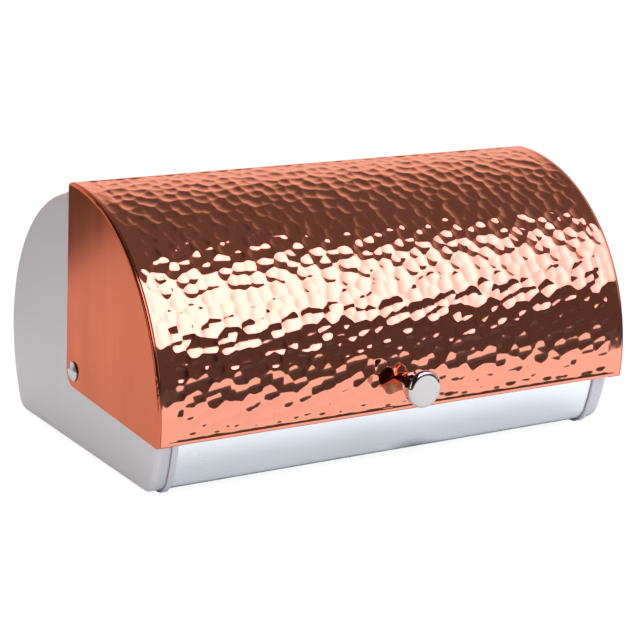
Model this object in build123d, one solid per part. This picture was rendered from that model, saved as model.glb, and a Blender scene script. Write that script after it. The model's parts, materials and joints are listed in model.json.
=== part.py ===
from build123d import *
from math import asin, cos, degrees, hypot, radians, sin, sqrt
import os

# Bread box with a hammered roll-back lid.
# Millimetres. +X to the right, +Y to the back, +Z up, origin on the counter under the
# middle of the whole box. Shapes are drawn about the lid's pivot axis and moved into
# place when they are written. Angles round the pivot run from the top (0) to the front (90).

# Lid
LID_WIDTH = 385.0        # over the outer faces of the two lid sides
LID_R = 134.0            # outer radius of the cover about the pivot axis
LID_REAR_DEG = -2.0      # rear edge of the shut lid, just behind the top
LID_FRONT_DEG = 97.9     # lower front edge of the shut lid
LID_CORNER_R = 12.0      # rounded corner of each lid side, round its pivot hole
LID_HEM = 7.0            # depth of the lid's inward hems, front and rear
HEM_BEND_R = 1.3
SIDE_BEND_R = 1.8        # bend from a lid side's plate to its welding flange
SIDE_FLANGE_W = 10.0
COVER_INSET = 2.4        # end of the cover sheet, in from the outer face of a lid side
SHEET = 0.5              # sheet steel, lid and body alike

# Body
BODY_R = 124.7           # outer radius of the body about the pivot axis
SIDE_GAP = 4.4           # between a lid side and the end cap behind it
BASE_DROP = 58.0         # pivot axis down to the underside of the floor
FRONT_CORNER_R = 18.0    # where the front turns under
REAR_CORNER_R = 12.0     # where the back turns under
CAP_EDGE_R = 4.0         # pressed edge of an end cap
CAP_SKIRT = 10.5         # outer face of a cap to its seam bead

# Seam bead: the cap's hooked rim closes over the wrap's upturned rim, and the box stands on it
BEAD_W = 4.2
BEAD_H = 2.0
BEAD_EDGE = 0.7          # bevel on the bead's outer edges
SEAM_CLEAR = 0.05

# Opening of the body, and the rolled edges beside it
LIP_DEG = 84.0           # front lip, hidden behind the shut lid
LIP_CURL_R = 2.0         # rolls inward
TOP_CURL_R = 2.2         # rolls outward, and stops the lid both ways
STOP_GAP = 0.35          # left between the top curl and the lid's rear hem when it is shut

# Vents in the back wall
VENT_R = 3.0
VENT_COUNT = 5
VENT_PITCH = 24.0
VENT_DEG = -75.0

# Knob
KNOB_DEG = 89.0          # place of its axis on the lid
KNOB_HEIGHT = 22.5       # lid surface to the knob's face
KNOB_NECK_R = 5.2
KNOB_NECK_L = 4.5
KNOB_RING_R = 8.6        # ring between neck and head
KNOB_RING_T = 3.6
KNOB_GROOVE_R = 7.6
KNOB_HEAD_R = 13.3
KNOB_HEAD_T = 12.5
KNOB_RIM_R = 3.2         # rounded front edge of the head
KNOB_TAP_DEPTH = 13.0

# Knob's screw and washer
SCREW_R = 2.0            # M4
SCREW_HEAD_R = 3.8
SCREW_HEAD_H = 2.2
SCREW_RECESS = 1.3
SCREW_REACH = 10.0       # thread that stands past the lid's surface
WASHER_R = 5.5
WASHER_T = 0.8

# Pivots
SHOULDER_R = 3.0
PIVOT_THREAD_R = 2.5     # M5
PIVOT_HEAD_R = 7.0
PIVOT_HEAD_H = 3.2
PIVOT_RIM = 0.8          # straight edge of the head below its dome
RUNNING = 0.05           # radial clearance of a turning fit
END_FLOAT = 0.1          # axial play of the lid on each shoulder
SPACER_R = 8.0
PIVOT_WASHER_R = 6.5
PIVOT_WASHER_T = 1.0
NUT_FLATS = 8.0
NUT_H = 4.0
THREAD_PAST_NUT = 1.5

# Places worked out from the dimensions above
LID_IN = LID_R - SHEET
SIDE_OUT = LID_WIDTH / 2
SIDE_IN = SIDE_OUT - SHEET
CAP_OUT = SIDE_IN - SIDE_GAP
CAP_IN = CAP_OUT - SHEET
BEAD_OUT = CAP_OUT - CAP_SKIRT
BEAD_IN = BEAD_OUT - BEAD_W
CURL_END = BEAD_IN - 0.5
KNOB_REACH = LID_R + KNOB_HEIGHT
NUT_SEAT = CAP_IN - PIVOT_WASHER_T
WASHER_TOP = sqrt(LID_IN**2 - WASHER_R**2)
PIVOT_Y = (KNOB_REACH - BODY_R - BEAD_H) / 2
PIVOT_Z = BASE_DROP + BEAD_H
FAR = 400.0


def polar(radius, deg):
    """Point in the YZ plane at a distance from the pivot axis, angle from the top to the front."""
    return (-radius * sin(radians(deg)), radius * cos(radians(deg)))


def slab(face, x_from, x_to):
    """A face drawn with Y across and Z up, given thickness along X."""
    return extrude(Plane.YZ.offset(x_from) * face, x_to - x_from)


def rod(radius, x_from, x_to):
    return slab(Circle(radius), x_from, x_to)


def turned(profile):
    """A profile drawn with distance from the pivot axis across and X up, turned about that axis."""
    return revolve(Plane((0, 0, 0), x_dir=(0, 0, 1), z_dir=(0, 1, 0)) * profile, Axis.X)


def wedge(deg_from, deg_to):
    """Every direction between two angles, as a wide face from the pivot axis."""
    middle = (deg_from + deg_to) / 2
    corners = [(0, 0), polar(FAR, deg_from), polar(FAR * 1.5, middle), polar(FAR, deg_to)]
    return make_face(Polyline(*corners, close=True))


def rim_edges(solid, x):
    """The outer edges of a slab's end face at x."""
    face = solid.faces().filter_by(Axis.X).sort_by_distance((x, 0, 0))[0]
    return face.outer_wire().edges()


# Body shell

def body_outline(grow=0.0):
    """The body's cross-section: a round front and back cut off by the floor, with soft corners."""
    floor = -(BASE_DROP + grow)
    above = Pos(0, floor + FAR / 2) * Rectangle(FAR, FAR)
    cut = Circle(BODY_R + grow) & above
    front, rear = cut.vertices().group_by(Axis.Y)[0].sort_by(Axis.X)
    rounded = fillet(front, FRONT_CORNER_R + grow)
    corner = rounded.vertices().sort_by_distance((rear.X, rear.Y, 0))[0]
    return fillet(corner, REAR_CORNER_R + grow)


def end_cap():
    """Pressed pan: flat side, soft edge, skirt, and a hooked rim round the seam."""
    wall = BEAD_OUT - SHEET
    outer = slab(body_outline(), wall, CAP_OUT)
    outer = fillet(rim_edges(outer, CAP_OUT), CAP_EDGE_R)
    inner = slab(body_outline(-SHEET), wall - 1, CAP_IN)
    inner = fillet(rim_edges(inner, CAP_IN), CAP_EDGE_R - SHEET)
    bead = slab(body_outline(BEAD_H), BEAD_IN, BEAD_OUT)
    bead = chamfer(rim_edges(bead, BEAD_IN) + rim_edges(bead, BEAD_OUT), BEAD_EDGE)
    hollow = slab(body_outline(BEAD_H - SHEET), BEAD_IN + SHEET, wall)
    mouth = slab(body_outline(SEAM_CLEAR), BEAD_IN - 1, wall)
    bore = slab(body_outline(-SHEET), BEAD_IN - 1, BEAD_OUT + 1)
    hook = bead - hollow - mouth - bore
    hole = rod(PIVOT_THREAD_R + 2 * SEAM_CLEAR, CAP_IN - 1, CAP_OUT + 1)
    return (outer - inner) + hook - hole


def top_curl_deg():
    """Middle of the body's top curl: the shut lid's rear hem stands just behind it."""
    centre_r = BODY_R - SHEET + TOP_CURL_R
    return LID_REAR_DEG + degrees(asin((TOP_CURL_R + STOP_GAP + SHEET) / centre_r))


def curl(centre_r, curl_r, deg):
    """A sheet edge rolled into a tube, along the box."""
    section = Pos(*polar(centre_r, deg)) * (Circle(curl_r) - Circle(curl_r - SHEET))
    return slab(section, -CURL_END, CURL_END)


def body_wrap():
    """One sheet: front lip, floor, back and top, with an upturned rim at each end."""
    rim_x = BEAD_OUT - SHEET
    opening = wedge(top_curl_deg(), LIP_DEG)
    skin = body_outline() - body_outline(-SHEET) - opening
    rim = body_outline(BEAD_H - SHEET - SEAM_CLEAR) - body_outline(-SHEET) - opening
    wrap = slab(skin, -rim_x, rim_x)
    wrap += slab(rim, rim_x - 2 * SHEET, rim_x) + slab(rim, -rim_x, 2 * SHEET - rim_x)
    wrap += curl(BODY_R - SHEET + TOP_CURL_R, TOP_CURL_R, top_curl_deg())
    wrap += curl(BODY_R - LIP_CURL_R, LIP_CURL_R, LIP_DEG)
    across = Plane(origin=(0, 0, 0), x_dir=(1, 0, 0), z_dir=(0, *polar(1, VENT_DEG)))
    vents = GridLocations(VENT_PITCH, 0, VENT_COUNT, 1) * Circle(VENT_R)
    return wrap - extrude(across * Compound(vents), BODY_R + 5)


# Lid

def side_outline():
    """A lid side: the arc of the lid drawn together with the round corner at the pivot."""
    arc = ThreePointArc(
        polar(LID_IN, LID_REAR_DEG),
        polar(LID_IN, (LID_REAR_DEG + LID_FRONT_DEG) / 2),
        polar(LID_IN, LID_FRONT_DEG),
    )
    return make_hull([arc, Circle(LID_CORNER_R).edge()])


def lid_side():
    """Flat plate whose curved edge is bent in to a flange that the cover is welded on."""
    flange_end = SIDE_OUT - SIDE_BEND_R - SIDE_FLANGE_W
    plate_r = LID_IN - 2 * SIDE_BEND_R
    section = make_face(
        Polyline(
            (plate_r, SIDE_IN),
            (plate_r, SIDE_OUT),
            (LID_IN, SIDE_OUT),
            (LID_IN, flange_end),
            (LID_IN - SHEET, flange_end),
            (LID_IN - SHEET, SIDE_IN),
            close=True,
        )
    )
    outer = section.vertices().sort_by_distance((LID_IN, SIDE_OUT, 0))[0]
    section = fillet(outer, SIDE_BEND_R)
    inner = section.vertices().sort_by_distance((LID_IN - SHEET, SIDE_IN, 0))[0]
    section = chamfer(inner, 0.6 * (SIDE_BEND_R - SHEET))
    pan = rod(plate_r, SIDE_IN, SIDE_OUT) + turned(section)
    pan = pan & slab(side_outline(), flange_end - 1, SIDE_OUT + 1)
    return pan - rod(SHOULDER_R + RUNNING, SIDE_IN - 1, SIDE_OUT + 1)


def cover_sector(radius, deg_inset, corner_r):
    """Part of a disc under the cover, with its two outer corners rounded."""
    face = Circle(radius) & wedge(LID_REAR_DEG + deg_inset, LID_FRONT_DEG - deg_inset)
    corners = [v for v in face.vertices() if hypot(v.X, v.Y) > radius - 0.01]
    return fillet(corners, corner_r)


def lid_cover():
    """The rolled cover sheet, hemmed inward front and rear, with a hole for the knob's screw."""
    sheet_deg = degrees(SHEET / LID_R)
    cover_end = SIDE_OUT - COVER_INSET
    outer = cover_sector(LID_R, 0, HEM_BEND_R)
    inner = cover_sector(LID_IN, sheet_deg, HEM_BEND_R - SHEET)
    hemmed = outer - inner - Circle(LID_R - LID_HEM)
    plain = outer - Circle(LID_IN)
    cover = slab(hemmed, -CURL_END, CURL_END)
    cover += slab(plain, CURL_END, cover_end) + slab(plain, -cover_end, -CURL_END)
    return cover - on_lid(extrude(Plane.XZ * Circle(SCREW_R + 0.2), FAR / 2))


# Knob, turned about an axis that points forward from the pivot, then set on the lid

def on_lid(shape):
    return Rot(KNOB_DEG - 90, 0, 0) * shape


def along_knob(profile):
    """A half section, distance from the knob's axis across and distance from the pivot up."""
    return revolve(Plane.XY * Rot(0, 0, 180) * profile, Axis.Y)


def knob_profile():
    """Neck, bevelled ring and a head that flares to a rounded rim round a flat face."""
    base = LID_R - 1.0
    neck_end = LID_R + KNOB_NECK_L
    ring_end = neck_end + KNOB_RING_T
    head_back = KNOB_REACH - KNOB_HEAD_T
    bevel = KNOB_RING_T / 4
    rim_back = KNOB_REACH - KNOB_RIM_R
    rim_mid = KNOB_RIM_R * (1 - sqrt(0.5))
    with BuildLine() as line:
        Polyline(
            (0, KNOB_REACH),
            (0, base),
            (KNOB_NECK_R, base),
            (KNOB_NECK_R, neck_end - 1.5),
            (KNOB_RING_R - bevel, neck_end),
            (KNOB_RING_R, neck_end + bevel),
            (KNOB_RING_R, ring_end - bevel),
            (KNOB_GROOVE_R, ring_end),
            (KNOB_GROOVE_R, head_back),
        )
        JernArc((KNOB_GROOVE_R, head_back), (1, 0.35), 9.0, 45)
        flare_end = line.line @ 1
        Line(flare_end, (KNOB_HEAD_R, rim_back))
        ThreePointArc(
            (KNOB_HEAD_R, rim_back),
            (KNOB_HEAD_R - rim_mid, KNOB_REACH - rim_mid),
            (KNOB_HEAD_R - KNOB_RIM_R, KNOB_REACH),
        )
        Line((KNOB_HEAD_R - KNOB_RIM_R, KNOB_REACH), (0, KNOB_REACH))
    return make_face(line.line)


def knob():
    lid = rod(LID_R, -FAR / 4, FAR / 4)
    tapped = extrude(Plane.XZ * Circle(SCREW_R + SEAM_CLEAR), LID_R + KNOB_TAP_DEPTH)
    return on_lid(along_knob(knob_profile()) - lid - tapped)


def knob_washer():
    """Flat washer that rests by its edge in the hollow of the cover."""
    ring = Circle(WASHER_R) - Circle(SCREW_R + 0.15)
    return on_lid(extrude(Plane.XZ.offset(WASHER_TOP - WASHER_T) * ring, WASHER_T))


def knob_screw():
    """Pan head with a cross recess, and its shank out into the knob."""
    seat = WASHER_TOP - WASHER_T
    crown = seat - SCREW_HEAD_H
    head = extrude(Plane.XZ.offset(crown) * Circle(SCREW_HEAD_R), SCREW_HEAD_H)
    head = chamfer(head.edges().filter_by(GeomType.CIRCLE).sort_by(Axis.Y)[-1], 0.8)
    shank_end = LID_R + SCREW_REACH
    shank = extrude(Plane.XZ.offset(seat - 0.5) * Circle(SCREW_R), shank_end - seat + 0.5)
    cross = Rectangle(4.2, 0.9) + Rectangle(0.9, 4.2)
    recess = extrude(Plane.XZ.offset(crown - 1) * cross, SCREW_RECESS + 1)
    return on_lid(head + shank - recess)


# Pivots

def pivot_screw():
    """Domed head outside the lid side, shoulder that the lid turns on, thread through the cap."""
    under = SIDE_OUT + END_FLOAT
    top = under + PIVOT_HEAD_H
    dome = PIVOT_HEAD_H - PIVOT_RIM
    dome_r = (PIVOT_HEAD_R**2 + dome**2) / (2 * dome)
    half = PIVOT_HEAD_R / 2
    with BuildLine() as line:
        Polyline((0, top), (0, under), (PIVOT_HEAD_R, under), (PIVOT_HEAD_R, under + PIVOT_RIM))
        ThreePointArc(
            (PIVOT_HEAD_R, under + PIVOT_RIM),
            (half, top - dome_r + sqrt(dome_r**2 - half**2)),
            (0, top),
        )
    thread = rod(PIVOT_THREAD_R, NUT_SEAT - NUT_H - THREAD_PAST_NUT, CAP_OUT)
    thread = chamfer(thread.edges().sort_by(Axis.X)[0], 0.5)
    return turned(make_face(line.line)) + rod(SHOULDER_R, CAP_OUT, under) + thread


def pivot_spacer():
    """Nylon ring that keeps the lid side clear of the end cap."""
    ring = Circle(SPACER_R) - Circle(SHOULDER_R + RUNNING)
    return slab(ring, CAP_OUT, SIDE_IN - END_FLOAT)


def pivot_washer():
    ring = Circle(PIVOT_WASHER_R) - Circle(PIVOT_THREAD_R + 2 * SEAM_CLEAR)
    return slab(ring, NUT_SEAT, CAP_IN)


def pivot_nut():
    """Hexagon nut inside the end cap, its outer corners turned off."""
    seat, end = NUT_SEAT, NUT_SEAT - NUT_H
    hexagon = RegularPolygon(NUT_FLATS / 2, 6, major_radius=False)
    corner_r = NUT_FLATS / sqrt(3)
    facing = rod(corner_r + 0.2, end, seat)
    facing = chamfer(facing.edges().filter_by(GeomType.CIRCLE).sort_by(Axis.X)[0], 0.4, 0.8)
    return (slab(hexagon, end, seat) & facing) - rod(PIVOT_THREAD_R + SEAM_CLEAR, end - 1, seat + 1)


def write(name, shape):
    placed = Pos(0, PIVOT_Y, PIVOT_Z) * shape
    export_step(placed, f"parts/{name}.step")


def write_pair(name, right):
    write(name + "_right", right)
    write(name + "_left", mirror(right, Plane.YZ))


os.makedirs("parts", exist_ok=True)
write_pair("end_cap", end_cap())
write("body_wrap", body_wrap())
write("lid_cover", lid_cover())
write_pair("lid_side", lid_side())
write("knob", knob())
write("knob_washer", knob_washer())
write("knob_screw", knob_screw())
write_pair("pivot_screw", pivot_screw())
write_pair("pivot_spacer", pivot_spacer())
write_pair("pivot_washer", pivot_washer())
write_pair("pivot_nut", pivot_nut())
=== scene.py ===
import json
from math import asin, atan2, cos, pi, radians, sin

import bpy
import numpy as np
from mathutils import Matrix, Vector

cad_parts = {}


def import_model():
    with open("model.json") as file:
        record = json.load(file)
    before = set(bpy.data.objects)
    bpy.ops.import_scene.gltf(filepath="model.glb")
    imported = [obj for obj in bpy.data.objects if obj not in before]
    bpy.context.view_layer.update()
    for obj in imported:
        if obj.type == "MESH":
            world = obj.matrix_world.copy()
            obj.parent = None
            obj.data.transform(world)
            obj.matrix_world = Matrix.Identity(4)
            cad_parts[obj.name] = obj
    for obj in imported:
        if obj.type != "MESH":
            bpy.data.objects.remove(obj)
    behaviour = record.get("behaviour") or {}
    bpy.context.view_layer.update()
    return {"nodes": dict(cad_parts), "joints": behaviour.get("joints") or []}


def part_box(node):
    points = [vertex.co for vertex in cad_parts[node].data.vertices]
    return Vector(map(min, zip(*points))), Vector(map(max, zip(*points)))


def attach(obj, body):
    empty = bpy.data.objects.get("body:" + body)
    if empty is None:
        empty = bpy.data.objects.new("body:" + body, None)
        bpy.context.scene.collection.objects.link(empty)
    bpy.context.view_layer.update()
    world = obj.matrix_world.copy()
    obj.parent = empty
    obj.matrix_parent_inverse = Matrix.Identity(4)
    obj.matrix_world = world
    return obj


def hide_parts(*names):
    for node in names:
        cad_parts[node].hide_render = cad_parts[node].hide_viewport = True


# Looks of a bread box with a hammered roll-back lid. Metres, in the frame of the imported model.
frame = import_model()

PIVOT = Vector(frame["joints"][0]["pos_m"])
COVER_LOW, COVER_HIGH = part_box("lid_cover")

# Camera: its direction and distance from a point near the middle of the pivot axis
CAMERA_AZIMUTH = radians(-31.26)
CAMERA_ELEVATION = radians(14.68)
CAMERA_ROLL = radians(1.37)
CAMERA_DISTANCE = 1.4539
CAMERA_AIM = Vector((0.00873, 0.0, 0.01417))
LENS_MM = 108.8
SENSOR_MM = 36.0
CLIP_START, CLIP_END = 0.05, 50.0

# Lid cover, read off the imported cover
SHEET = 0.0005
LID_R = COVER_HIGH.z - PIVOT.z
COVER_HALF = COVER_HIGH.x
REAR_ANGLE = -asin((COVER_HIGH.y - PIVOT.y) / LID_R)
FRONT_ANGLE = pi / 2 + asin((PIVOT.z - COVER_LOW.z) / LID_R)
HEM_BEND_R = 0.0013
HEM_DEPTH = 0.007
HEM_INSET = 0.0047
HEM_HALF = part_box("body_wrap")[1].x - HEM_INSET
FLANGE_REACH = 0.0098
FLANGE_FADE = 0.004

# Grid of the hammered cover: the outer skin's spacing, how much coarser the inner skin is, and
# how much finer the stations lie in a zone along the front edge
GRID_STEP = 0.0008
INNER_EVERY = 3
CREASE_ZONE = 0.0072
CREASE_FINENESS = 2.5

# Hammer marks: dishes in loose rows that climb to the right
DISH_PITCH = 0.0106
DISH_REACH = DISH_PITCH * 1.3
ROW_PITCH = 0.0093
ROW_SLOPE = radians(16.0)
JITTER_ALONG, JITTER_ACROSS = 0.28, 0.27
WARP = 0.0022
WARP_ALONG, WARP_ALONG_PHASE = 61, 1.0
WARP_ACROSS = 57
DISH_DEPTH = 0.00088
DEPTH_SPREAD = (0.84, 1.12)
CURVE_ALONG, CURVE_ACROSS = 0.0258, 0.0212
CURVE_SPREAD = (0.85, 1.2)
TILT = 0.048
DEEPEST_AT_ENDS = 0.00042
SEED = 7

# Distances over which the dishes set in, from the sheet's ends, its two long edges and the knob
END_RAMP = (0.0012, 0.0075)
REAR_RAMP = (0.0015, 0.0045)
FRONT_RAMP = (0.0028, 0.0092)
PAD_RAMP = (0.0055, 0.0150)

# Crease: a shallow recess along the front edge, deeper in some places than in others
CREASE_RECESS = 0.00064
CREASE_START = (-0.024, -0.009)
CREASE_RAMP = (0.0022, 0.0046)
CREASE_WANDER = 0.24
CREASE_WAVES = ((93, 0.7), (37, 1.9))


# Node helpers

# Sockets of a mix node that is set to colours
MIX_FIRST, MIX_SECOND, MIX_RESULT = 6, 7, 2


def new_material(name):
    material = bpy.data.materials.new(name)
    material.use_nodes = True
    nodes = material.node_tree.nodes
    nodes.clear()
    output = nodes.new("ShaderNodeOutputMaterial")
    return material, nodes, material.node_tree.links, output


def add(nodes, kind, **values):
    """A node with its inputs set by name; names that are the node's own settings are set on it."""
    node = nodes.new(kind)
    for key, value in values.items():
        if key in node.inputs:
            node.inputs[key].default_value = value
        else:
            setattr(node, key, value)
    return node


def combined(nodes, links, operation, first, second):
    """Two values joined by a math operation."""
    node = add(nodes, "ShaderNodeMath", operation=operation)
    links.new(first, node.inputs[0])
    links.new(second, node.inputs[1])
    return node.outputs[0]


def ranged(nodes, links, source, low, high, start=0.0, end=1.0, smooth=False):
    """The source's value carried from start..end to low..high."""
    node = nodes.new("ShaderNodeMapRange")
    if smooth:
        node.interpolation_type = "SMOOTHSTEP"
    node.inputs["From Min"].default_value = start
    node.inputs["From Max"].default_value = end
    node.inputs["To Min"].default_value = low
    node.inputs["To Max"].default_value = high
    links.new(source, node.inputs["Value"])
    return node.outputs["Result"]


def noise(nodes, links, scale, detail=2.0, stretch=(1.0, 1.0, 1.0)):
    """Noise in the part's own coordinates, in marks per metre, stretched along some axes."""
    place = nodes.new("ShaderNodeTexCoord")
    mapping = nodes.new("ShaderNodeMapping")
    mapping.inputs["Scale"].default_value = stretch
    texture = add(nodes, "ShaderNodeTexNoise", Scale=scale, Detail=detail)
    links.new(place.outputs["Object"], mapping.inputs["Vector"])
    links.new(mapping.outputs["Vector"], texture.inputs["Vector"])
    return texture.outputs["Fac"]


def tinted(nodes, links, fac, dark, light):
    """A colour between dark and light."""
    mix = nodes.new("ShaderNodeMix")
    mix.data_type = "RGBA"
    mix.inputs[MIX_FIRST].default_value = (*dark, 1)
    mix.inputs[MIX_SECOND].default_value = (*light, 1)
    links.new(fac, mix.inputs[0])
    return mix.outputs[MIX_RESULT]


def crevice(nodes, distance, samples=4):
    """1 in the open, falling towards 0 deep in seams and creases; it is used to paint shade into
    colours.
    """
    node = nodes.new("ShaderNodeAmbientOcclusion")
    node.samples = samples
    node.inputs["Distance"].default_value = distance
    return node.outputs["AO"]


def scaled(nodes, links, colour, fac):
    """The colour times a number."""
    node = nodes.new("ShaderNodeVectorMath")
    node.operation = "SCALE"
    links.new(colour, node.inputs[0])
    links.new(fac, node.inputs["Scale"])
    return node.outputs[0]


# Materials

CLOUD_SCALE, CLOUD_DETAIL = 9.0, 4.0
CLOUD_SPAN = (0.3, 0.7)
STREAK_DETAIL = 2.0
STREAK_SPAN = (0.34, 0.66)
GRAIN_DETAIL = 3.0
# Painted shade in metal: colours darken in seams and crevices, where ambient occlusion finds them.
SEAM_SHADE_WIDTH = 0.0022
SEAM_SHADE_DARKEST = 0.30
SEAM_SHADE_SPAN = (0.25, 0.80)
SPECKLE_SCALE, SPECKLE_DETAIL = 900.0, 3.0
SPECKLE_BUMP, SPECKLE_DEPTH = 0.4, 0.00003


def metal(name, dark, light, rough, grain, grain_strength, grain_depth,
          edge=(1, 1, 1), streaks=None):
    """Metal whose colour and gloss drift slowly, with a fine grain, and painted shade that darkens
    its colour in seams and crevices.

    The grain is a scale and a stretch, and so are the streaks, which take the drift's place.
    """
    material, nodes, links, output = new_material(name)
    shader = nodes.new("ShaderNodeBsdfPrincipled")
    shader.inputs["Metallic"].default_value = 1.0
    shader.inputs["Specular Tint"].default_value = (*edge, 1)
    if streaks:
        streak_scale, streak_stretch = streaks
        lengthwise = noise(nodes, links, streak_scale, STREAK_DETAIL, streak_stretch)
        cloud = ranged(nodes, links, lengthwise, 0.0, 1.0, *STREAK_SPAN)
    else:
        cloud = noise(nodes, links, CLOUD_SCALE, CLOUD_DETAIL)
    grain_scale, stretch = grain
    lines = noise(nodes, links, grain_scale, GRAIN_DETAIL, stretch)
    # Painted shade: the colour is darkened in seams and crevices by ambient occlusion.
    seam_shade = ranged(nodes, links, crevice(nodes, SEAM_SHADE_WIDTH), SEAM_SHADE_DARKEST, 1.0, *SEAM_SHADE_SPAN)
    colour = scaled(nodes, links, tinted(nodes, links, cloud, dark, light), seam_shade)
    links.new(colour, shader.inputs["Base Color"])
    roughness = add(nodes, "ShaderNodeMath", operation="MULTIPLY_ADD")
    roughness.inputs[1].default_value = grain_strength
    links.new(lines, roughness.inputs[0])
    links.new(ranged(nodes, links, cloud, *rough, *CLOUD_SPAN), roughness.inputs[2])
    links.new(roughness.outputs[0], shader.inputs["Roughness"])
    bump = add(nodes, "ShaderNodeBump", Strength=1.0, Distance=grain_depth)
    links.new(lines, bump.inputs["Height"])
    links.new(bump.outputs["Normal"], shader.inputs["Normal"])
    links.new(shader.outputs["BSDF"], output.inputs["Surface"])
    return material


def plastic(name, dark, light, rough):
    """Matt plastic with a fine speckle in its colour, gloss and surface."""
    material, nodes, links, output = new_material(name)
    shader = nodes.new("ShaderNodeBsdfPrincipled")
    speckle = noise(nodes, links, SPECKLE_SCALE, SPECKLE_DETAIL)
    links.new(tinted(nodes, links, speckle, dark, light), shader.inputs["Base Color"])
    links.new(ranged(nodes, links, speckle, *rough), shader.inputs["Roughness"])
    bump = add(nodes, "ShaderNodeBump", Strength=SPECKLE_BUMP, Distance=SPECKLE_DEPTH)
    links.new(speckle, bump.inputs["Height"])
    links.new(bump.outputs["Normal"], shader.inputs["Normal"])
    links.new(shader.outputs["BSDF"], output.inputs["Surface"])
    return material


EVEN = (1.0, 1.0, 1.0)
ALONG_X = (0.008, 1.0, 1.0)
ALONG_Y = (1.0, 0.02, 1.0)
UPRIGHT = (1.0, 1.0, 0.03)
STREAKED = (42.0, (1.0, 1.0, 0.12))

copper = metal("copper_hammered", (0.90, 0.318, 0.200), (0.93, 0.340, 0.222), (0.05, 0.08),
               (1400.0, EVEN), 0.02, 0.000002, (1.0, 0.86, 0.80))
copper_satin = metal("copper_satin", (0.615, 0.140, 0.067), (0.715, 0.165, 0.083),
                     (0.130, 0.148), (1500.0, UPRIGHT), 0.04, 0.000003, (1.0, 0.80, 0.72),
                     STREAKED)
steel = metal("steel_satin", (0.915, 0.893, 0.893), (0.962, 0.941, 0.941), (0.25, 0.31),
              (4300.0, ALONG_X), 0.05, 0.0000005)
steel_cap = metal("steel_cap_satin", (0.725, 0.678, 0.692), (0.765, 0.718, 0.732), (0.56, 0.62),
                  (1500.0, ALONG_Y), 0.05, 0.000004)
nickel = metal("knob_nickel", (0.588, 0.520, 0.482), (0.629, 0.558, 0.520), (0.03, 0.06),
               (700.0, EVEN), 0.01, 0.000001)
pivot_head = metal("pivot_head", (0.56, 0.55, 0.55), (0.62, 0.61, 0.61), (0.16, 0.22),
                   (1200.0, EVEN), 0.04, 0.000003)
zinc = metal("zinc_plate", (0.52, 0.52, 0.50), (0.60, 0.60, 0.57), (0.30, 0.40),
             (1100.0, EVEN), 0.08, 0.000006)
nylon = plastic("nylon", (0.74, 0.74, 0.70), (0.80, 0.80, 0.77), (0.42, 0.55))

FINISHES = {
    "body_wrap": steel,
    "end_cap": steel_cap,
    "lid_side": copper_satin,
    "knob": nickel,
    "knob_washer": zinc,
    "knob_screw": zinc,
    "pivot_screw": pivot_head,
    "pivot_spacer": nylon,
    "pivot_washer": zinc,
    "pivot_nut": zinc,
}


def finish_nodes():
    """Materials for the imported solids, the same on the left and on the right."""
    for name, node in frame["nodes"].items():
        kind = name.removesuffix("_left").removesuffix("_right")
        if kind in FINISHES:
            node.data.materials.clear()
            node.data.materials.append(FINISHES[kind])


# Lid cover

def dish_centres(half_width, start, end):
    """Middles of the hammer marks in the unrolled sheet, with their depths, curves and tilts."""
    rng = np.random.default_rng(SEED)
    along = np.array([cos(ROW_SLOPE), -sin(ROW_SLOPE)])
    across = np.array([sin(ROW_SLOPE), cos(ROW_SLOPE)])
    reach = int((half_width * 2 + end - start) / ROW_PITCH)
    steps = np.stack(np.meshgrid(np.arange(-reach, reach), np.arange(-reach, reach)), -1)
    steps = steps.reshape(-1, 2).astype(float)
    steps += rng.uniform(-1, 1, steps.shape) * (JITTER_ALONG, JITTER_ACROSS)
    centres = steps[:, :1] * DISH_PITCH * along + steps[:, 1:] * ROW_PITCH * across
    wave = np.stack([
        np.sin(centres[:, 1] * WARP_ALONG + WARP_ALONG_PHASE),
        np.sin(centres[:, 0] * WARP_ACROSS),
    ], 1)
    centres = centres + wave * WARP
    centres[:, 1] += (start + end) / 2
    inside = (
        (np.abs(centres[:, 0]) < half_width + DISH_PITCH)
        & (centres[:, 1] > start - DISH_PITCH)
        & (centres[:, 1] < end + DISH_PITCH)
    )
    centres = centres[inside]
    depths = DISH_DEPTH * rng.uniform(*DEPTH_SPREAD, len(centres))
    curves = rng.uniform(*CURVE_SPREAD, (len(centres), 1)) * (CURVE_ALONG, CURVE_ACROSS)
    tilts = rng.normal(0, TILT, (len(centres), 2))
    return centres, depths, curves, tilts


def ramp(values, low, high):
    """0 up to low, 1 from high on, with a smooth change between."""
    t = np.clip((values - low) / (high - low), 0, 1)
    return t * t * (3 - 2 * t)


def softened(depth):
    """The depths, each blurred with its eight neighbours, except along the edges."""
    soft = depth.copy()
    soft[1:-1, 1:-1] = (
        depth[1:-1, 1:-1] * 4
        + (depth[:-2, 1:-1] + depth[2:, 1:-1] + depth[1:-1, :-2] + depth[1:-1, 2:]) * 2
        + depth[:-2, :-2] + depth[:-2, 2:] + depth[2:, :-2] + depth[2:, 2:]
    ) / 16
    return soft


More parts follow.
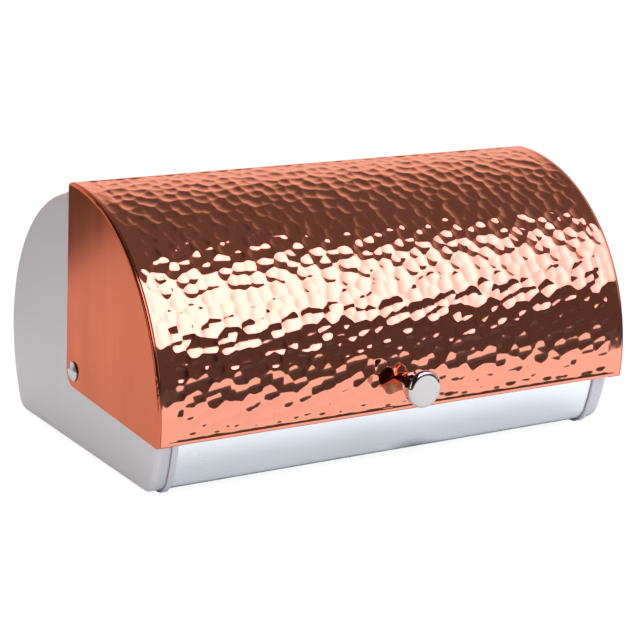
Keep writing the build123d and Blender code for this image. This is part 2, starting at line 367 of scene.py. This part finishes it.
def hammer_depth(x, arc, start, end):
    """How far the sheet is beaten in at each point of a grid, and which columns clear the flanges.

    x runs across the sheet and arc down it.
    """
    centres, depths, curves, tilts = dish_centres(COVER_HALF, start, end)
    slope_cos, slope_sin = cos(ROW_SLOPE), sin(ROW_SLOPE)
    depth = np.zeros((len(arc), len(x)))
    for row, place in enumerate(arc):
        near = np.abs(centres[:, 1] - place) < DISH_REACH
        gap_x = x[:, None] - centres[near, 0]
        gap_y = place - centres[near, 1]
        u = gap_x * slope_cos - gap_y * slope_sin
        v = gap_x * slope_sin + gap_y * slope_cos
        fall = u**2 / (2 * curves[near, 0]) + v**2 / (2 * curves[near, 1])
        lean = u * tilts[near, 0] + v * tilts[near, 1]
        depth[row] = np.maximum(0, (depths[near] - fall + lean).max(axis=1))
    knob_low, knob_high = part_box("knob")
    knob_z = (knob_low.z + knob_high.z) / 2 - PIVOT.z
    knob_arc = LID_R * atan2(PIVOT.y - (knob_low.y + knob_high.y) / 2, knob_z)
    knob_gap = np.hypot(x[None, :], (arc - knob_arc)[:, None])
    from_end = COVER_HALF - np.abs(x)
    ends = ramp(from_end, *END_RAMP)[None, :]
    edges = ramp(arc - start, *REAR_RAMP) * ramp(end - arc, *FRONT_RAMP)
    dishes = softened(depth) * edges[:, None]
    (rate_a, phase_a), (rate_b, phase_b) = CREASE_WAVES
    waves = np.sin(x * rate_a + phase_a) * np.sin(x * rate_b + phase_b)
    wander = 1 - CREASE_WANDER * (1 + waves) / 2
    crease = ramp(arc - end, *CREASE_START) * ramp(end - arc, *CREASE_RAMP)
    recess = CREASE_RECESS * crease[:, None] * wander[None, :]
    total = (dishes + recess) * ends * ramp(knob_gap, *PAD_RAMP)
    over_flange = DEEPEST_AT_ENDS * np.tanh(total / DEEPEST_AT_ENDS)
    inward = ramp(from_end, FLANGE_REACH, FLANGE_REACH + FLANGE_FADE)[None, :]
    return over_flange * (1 - inward) + total * inward, inward[0] > 0


def cover_stations():
    """Stations over the cover from rear bend to front bend: place in Y and Z, normal, arc."""
    bend = HEM_BEND_R / LID_R
    first, last = REAR_ANGLE + bend, FRONT_ANGLE - bend
    crease = last - CREASE_ZONE / LID_R
    count = INNER_EVERY * round((crease - first) * LID_R / GRID_STEP / INNER_EVERY)
    fine = INNER_EVERY * round(CREASE_FINENESS * CREASE_ZONE / GRID_STEP / INNER_EVERY)
    plain_angles = np.linspace(first, crease, count + 1)[:-1]
    arc_angles = np.concatenate([plain_angles, np.linspace(crease, last, fine + 1)])
    turn = np.linspace(0, pi / 2, INNER_EVERY + 1)[1:]
    facing = np.array([*(first - turn[::-1]), *arc_angles, *(last + turn)])
    middles = [*[first] * len(turn), *arc_angles, *[last] * len(turn)]
    centre_r = LID_R - HEM_BEND_R
    normal = np.stack([-np.sin(facing), np.cos(facing)], 1)
    centre = np.array([(-centre_r * sin(a), centre_r * cos(a)) for a in middles])
    return centre + normal * HEM_BEND_R, normal, np.clip(facing, first, last) * LID_R


def skin(x, places, normals, depth, offset):
    """Vertices of one skin of the sheet, a row for each station."""
    drop = (offset + depth)[..., None]
    yz = places[:, None, :] - normals[:, None, :] * drop
    points = np.empty((len(places), len(x), 3))
    points[..., 0] = x
    points[..., 1:] = yz + np.array([PIVOT.y, PIVOT.z])
    return points


def grid_faces(rows, columns, first, flip):
    """Quads over a grid of vertices."""
    i, j = np.meshgrid(np.arange(rows - 1), np.arange(columns - 1), indexing="ij")
    a = first + (i * columns + j).ravel()
    quads = np.stack([a, a + 1, a + columns + 1, a + columns], 1)
    return quads[:, ::-1].tolist() if flip else quads.tolist()


def edge_faces(outer, inner, every):
    """Faces that close the sheet's edge between a fine line of vertices and a coarse one."""
    faces = []
    for n in range(len(inner) - 1):
        fine = outer[n * every:(n + 1) * every + 1]
        faces.append([*fine, inner[n + 1], inner[n]])
    return faces


def build_object(name, points, faces, material, smooth=True):
    mesh = bpy.data.meshes.new(name)
    mesh.from_pydata([tuple(p) for p in points], [], faces)
    mesh.validate()
    if smooth:
        mesh.shade_smooth()
    mesh.materials.append(material)
    piece = bpy.data.objects.new(name, mesh)
    bpy.context.scene.collection.objects.link(piece)
    return piece


def hem_leaf(angle, side):
    """The flat part of a hem, inward from its bend: four corners of its section, in Y and Z."""
    radial = np.array([-sin(angle), cos(angle)])
    tangent = np.array([-cos(angle), -sin(angle)]) * side
    outer = radial * (LID_R - HEM_BEND_R)
    inner = radial * (LID_R - HEM_DEPTH)
    corners = [outer, inner, inner - tangent * SHEET, outer - tangent * SHEET]
    return np.array(corners) + np.array([PIVOT.y, PIVOT.z])


def cover_piece():
    """The hammered sheet, closed all round, and the flat parts of its two hems."""
    places, normals, arc = cover_stations()
    every = INNER_EVERY
    columns = every * round(2 * COVER_HALF / GRID_STEP / every) + 1
    x = np.linspace(-COVER_HALF, COVER_HALF, columns)
    rows = len(places)
    depth, clear_of_flange = hammer_depth(x, arc, REAR_ANGLE * LID_R, FRONT_ANGLE * LID_R)
    outer = skin(x, places, normals, depth, 0.0)
    inner_depth = np.where(clear_of_flange, depth, 0)[::every, ::every]
    inner = skin(x[::every], places[::every], normals[::every], inner_depth, SHEET)
    points = [*outer.reshape(-1, 3), *inner.reshape(-1, 3)]
    first_inner = rows * columns
    inner_rows, inner_columns = inner.shape[:2]
    faces = grid_faces(rows, columns, 0, False)
    faces += grid_faces(inner_rows, inner_columns, first_inner, True)
    outer_ids = np.arange(rows * columns).reshape(rows, columns)
    inner_ids = first_inner + np.arange(inner_rows * inner_columns).reshape(inner_rows, -1)
    rims = ((np.s_[0], True), (np.s_[-1], False), (np.s_[:, 0], False), (np.s_[:, -1], True))
    for rim, flip in rims:
        closing = edge_faces(outer_ids[rim].tolist(), inner_ids[rim].tolist(), every)
        faces += [f[::-1] for f in closing] if flip else closing
    for angle, side in ((REAR_ANGLE, -1), (FRONT_ANGLE, 1)):
        section = hem_leaf(angle, side)
        base = len(points)
        points += [(end, y, z) for end in (-HEM_HALF, HEM_HALF) for y, z in section]
        for n in range(4):
            after = (n + 1) % 4
            faces.append((base + n, base + after, base + 4 + after, base + 4 + n))
        faces.append((base, base + 1, base + 2, base + 3))
        faces.append((base + 7, base + 6, base + 5, base + 4))
    piece = build_object("hammered_cover", points, faces, copper)
    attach(piece, "lid")
    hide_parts("lid_cover")


# Floor: white to the camera. What reflections see is painted light in its colour: a painted pool
# of light round the box, a radius that grows to the rear, dark beyond that, and a painted shadow
# behind a slanted line at the rear right.

WHITE = (1, 1, 1, 1)
FLOOR_SIZE = 30
FLOOR_GLOW = 0.93
FLOOR_MATT = (0.09, 0.09, 0.09, 1)
FLOOR_TINT = (0.84, 0.92, 0.93)
# Painted light for reflections: a pool round the box, and a painted shadow of the box at the rear
# right.
LIT_CENTRE = (-0.035, 0.06, 0.0)
LIT_RADIUS = 0.59
LIT_RADIUS_REAR = LIT_RADIUS * 2.2
LIT_GROWTH = (-0.1, 0.4)
LIT_EDGE = 0.05
LIT_LEVEL, UNLIT_LEVEL = 0.93, 0.09
REAR_LIMIT = (0.75, 0.65, 0.0)
REAR_LIMIT_SPAN = (0.020, 0.060)
REAR_START = (0.16, 0.42)
REAR_SHADOW_LEVEL = 0.16
# Painted shade: the floor's reflected colour darkens close to the box, found by ambient occlusion.
FOOT_WIDTH, FOOT_SAMPLES = 0.06, 8
FOOT_SHADE_DARK, FOOT_SHADE_LIGHT = 0.50, 1.0
FOOT_SPAN = (0.45, 0.98)


def camera_only(nodes):
    return nodes.new("ShaderNodeLightPath").outputs["Is Camera Ray"]


def floor():
    """The camera sees it with a faint shadow; reflections see painted light in its colour: a pool
    round the box, a painted shadow at the rear right and painted shade close to the box.
    """
    material, nodes, links, output = new_material("floor_white")
    white = add(nodes, "ShaderNodeEmission", Color=WHITE, Strength=FLOOR_GLOW)
    matt = add(nodes, "ShaderNodeBsdfDiffuse", Color=FLOOR_MATT)
    seen = nodes.new("ShaderNodeAddShader")
    links.new(white.outputs[0], seen.inputs[0])
    links.new(matt.outputs[0], seen.inputs[1])
    place = nodes.new("ShaderNodeNewGeometry")
    away = add(nodes, "ShaderNodeVectorMath", operation="DISTANCE")
    away.inputs[1].default_value = LIT_CENTRE
    links.new(place.outputs["Position"], away.inputs[0])
    split = nodes.new("ShaderNodeSeparateXYZ")
    links.new(place.outputs["Position"], split.inputs[0])
    y = split.outputs["Y"]
    # Painted pool of light: full level within a radius round the box, low beyond it.
    limit = ranged(nodes, links, y, LIT_RADIUS, LIT_RADIUS_REAR, *LIT_GROWTH, True)
    past = combined(nodes, links, "SUBTRACT", away.outputs["Value"], limit)
    painted_pool = ranged(nodes, links, past, LIT_LEVEL, UNLIT_LEVEL, -LIT_EDGE, LIT_EDGE, True)
    # Painted shadow of the box behind a slanted line at the rear right.
    slant = add(nodes, "ShaderNodeVectorMath", operation="DOT_PRODUCT")
    slant.inputs[1].default_value = REAR_LIMIT
    links.new(place.outputs["Position"], slant.inputs[0])
    over = ranged(nodes, links, slant.outputs["Value"], 0.0, 1.0, *REAR_LIMIT_SPAN, True)
    far = ranged(nodes, links, y, 0.0, 1.0, *REAR_START, True)
    painted_rear_shadow = combined(nodes, links, "MULTIPLY", over, far)
    shade = ranged(nodes, links, painted_rear_shadow, 1.0, REAR_SHADOW_LEVEL)
    level = combined(nodes, links, "MULTIPLY", painted_pool, shade)
    # Painted shade close to the box, from ambient occlusion, multiplied into the reflected colour.
    gap = crevice(nodes, FOOT_WIDTH, FOOT_SAMPLES)
    near = ranged(nodes, links, gap, FOOT_SHADE_DARK, FOOT_SHADE_LIGHT, *FOOT_SPAN)
    tint = nodes.new("ShaderNodeRGB")
    tint.outputs[0].default_value = (*FLOOR_TINT, 1)
    # Reflections see this diffuse floor, whose colour holds the painted pool of light, shadow and
    # shade.
    floor_with_painted_light = nodes.new("ShaderNodeBsdfDiffuse")
    colour = scaled(nodes, links, scaled(nodes, links, tint.outputs[0], level), near)
    links.new(colour, floor_with_painted_light.inputs["Color"])
    mix = nodes.new("ShaderNodeMixShader")
    links.new(camera_only(nodes), mix.inputs[0])
    links.new(floor_with_painted_light.outputs[0], mix.inputs[1])
    links.new(seen.outputs[0], mix.inputs[2])
    links.new(mix.outputs[0], output.inputs["Surface"])
    bpy.ops.mesh.primitive_plane_add(size=FLOOR_SIZE, location=(0, 0, 0))
    plane = bpy.context.object
    plane.name = "floor"
    plane.data.materials.append(material)


# Lights

SOFTBOX_TOP = ((-0.05, -0.64, 1.40), (0.80, -0.53, 1.25), (1.75, -0.64, 0.97))
SOFTBOX_FOOT = ((-0.05, -1.36, 0.72), (0.80, -1.24, 0.65), (1.75, -0.88, 0.78))
SOFTBOX_TINT = (0.96, 1.0, 1.27)
SOFTBOX_LEFT, SOFTBOX_RIGHT = 3.0, 1.7
SOFTBOX_FADE = (0.35, 1.25)

SUN_FROM = (-0.34, -0.58, 0.74)
SUN_STRENGTH = 3.4
SUN_SPREAD = radians(16)


def softbox():
    """A wide sloping panel of light to the front right, which the camera doesn't see."""
    material, nodes, links, output = new_material("softbox_glow")
    place = nodes.new("ShaderNodeTexCoord")
    split = nodes.new("ShaderNodeSeparateXYZ")
    links.new(place.outputs["Object"], split.inputs[0])
    across = split.outputs["X"]
    level = ranged(nodes, links, across, SOFTBOX_LEFT, SOFTBOX_RIGHT, *SOFTBOX_FADE, True)
    glow = add(nodes, "ShaderNodeEmission", Color=(*SOFTBOX_TINT, 1))
    links.new(level, glow.inputs["Strength"])
    links.new(glow.outputs[0], output.inputs["Surface"])
    corners = [*SOFTBOX_FOOT, *SOFTBOX_TOP]
    panel = build_object("softbox", corners, [(0, 1, 4, 3), (1, 2, 5, 4)], material, False)
    panel.visible_camera = False
    panel.visible_shadow = False


def key_light():
    """A soft sun from the front left for what is matt; reflections don't show it."""
    light = bpy.data.lights.new("key", "SUN")
    light.energy = SUN_STRENGTH
    light.angle = SUN_SPREAD
    lamp = bpy.data.objects.new("key", light)
    bpy.context.scene.collection.objects.link(lamp)
    lamp.rotation_euler = Vector(SUN_FROM).to_track_quat("Z", "Y").to_euler()
    lamp.visible_glossy = False


# World: levels by direction, as seen in reflections

REAR_BRIGHT, CEILING, FRONT_DARK, LEFT_DARK = 0.93, 0.14, 0.10, 0.2
REAR_RISE = (0.38, 0.82)
FRONT_RISE = (0.3, 0.8)
FRONT_TO_REAR = (-0.45, -0.05)
LEFT_FADE = (-0.05, 0.36)
BEHIND_FADE = (0.15, 0.55)
SIDE_LIGHT = 1.15
SIDE_FADE_X = (-0.84, -0.74)
SIDE_FADE_Y = (-0.24, -0.14)
PAST_FIRST_BOUNCE = (1.4, 1.6)
ROOM_TINT = (1.03, 0.91, 0.85, 1)


def world():
    """White for the camera; in reflections bright low behind the box and dark elsewhere.

    A light at the front left is added, which goes out after the first glossy bounce.
    """
    scene_world = bpy.data.worlds.new("studio")
    bpy.context.scene.world = scene_world
    scene_world.use_nodes = True
    nodes, links = scene_world.node_tree.nodes, scene_world.node_tree.links
    nodes.clear()
    output = nodes.new("ShaderNodeOutputWorld")
    direction = nodes.new("ShaderNodeTexCoord")
    split = nodes.new("ShaderNodeSeparateXYZ")
    links.new(direction.outputs["Generated"], split.inputs[0])
    x, y, z = split.outputs
    rear = ranged(nodes, links, z, REAR_BRIGHT, CEILING, *REAR_RISE, True)
    front = ranged(nodes, links, z, FRONT_DARK, CEILING, *FRONT_RISE, True)
    mix = nodes.new("ShaderNodeMix")
    links.new(ranged(nodes, links, y, 0.0, 1.0, *FRONT_TO_REAR, True), mix.inputs[0])
    links.new(front, mix.inputs[2])
    links.new(rear, mix.inputs[3])
    from_left = ranged(nodes, links, x, LEFT_DARK, 1.0, *LEFT_FADE, True)
    behind = ranged(nodes, links, y, 0.0, 1.0, *BEHIND_FADE, True)
    shade = combined(nodes, links, "MAXIMUM", from_left, behind)
    level = combined(nodes, links, "MULTIPLY", mix.outputs[0], shade)
    to_left = ranged(nodes, links, x, SIDE_LIGHT, 0.0, *SIDE_FADE_X, True)
    to_front = ranged(nodes, links, y, 1.0, 0.0, *SIDE_FADE_Y, True)
    window = combined(nodes, links, "MULTIPLY", to_left, to_front)
    bounces = nodes.new("ShaderNodeLightPath").outputs["Glossy Depth"]
    early = ranged(nodes, links, bounces, 1.0, 0.0, *PAST_FIRST_BOUNCE)
    first = combined(nodes, links, "MULTIPLY", window, early)
    studio = add(nodes, "ShaderNodeBackground", Color=ROOM_TINT)
    links.new(combined(nodes, links, "ADD", level, first), studio.inputs["Strength"])
    white = add(nodes, "ShaderNodeBackground", Color=WHITE, Strength=1.0)
    choose = nodes.new("ShaderNodeMixShader")
    links.new(camera_only(nodes), choose.inputs[0])
    links.new(studio.outputs[0], choose.inputs[1])
    links.new(white.outputs[0], choose.inputs[2])
    links.new(choose.outputs[0], output.inputs["Surface"])


def camera():
    lens = bpy.data.cameras.new("camera")
    lens.lens = LENS_MM
    lens.sensor_width = SENSOR_MM
    lens.clip_start, lens.clip_end = CLIP_START, CLIP_END
    eye = bpy.data.objects.new("camera", lens)
    bpy.context.scene.collection.objects.link(eye)
    a, e, r = CAMERA_AZIMUTH, CAMERA_ELEVATION, CAMERA_ROLL
    back = Vector((sin(a) * cos(e), -cos(a) * cos(e), sin(e)))
    right = Vector((cos(a), sin(a), 0))
    up = back.cross(right)
    rolled_right = right * cos(r) + up * sin(r)
    rolled_up = up * cos(r) - right * sin(r)
    turn = Matrix((rolled_right, rolled_up, back)).transposed().to_4x4()
    eye.matrix_world = Matrix.Translation(PIVOT + CAMERA_AIM + back * CAMERA_DISTANCE) @ turn
    bpy.context.scene.camera = eye


finish_nodes()
cover_piece()
floor()
softbox()
key_light()
world()
camera()
bpy.context.scene.view_settings.view_transform = "Standard"
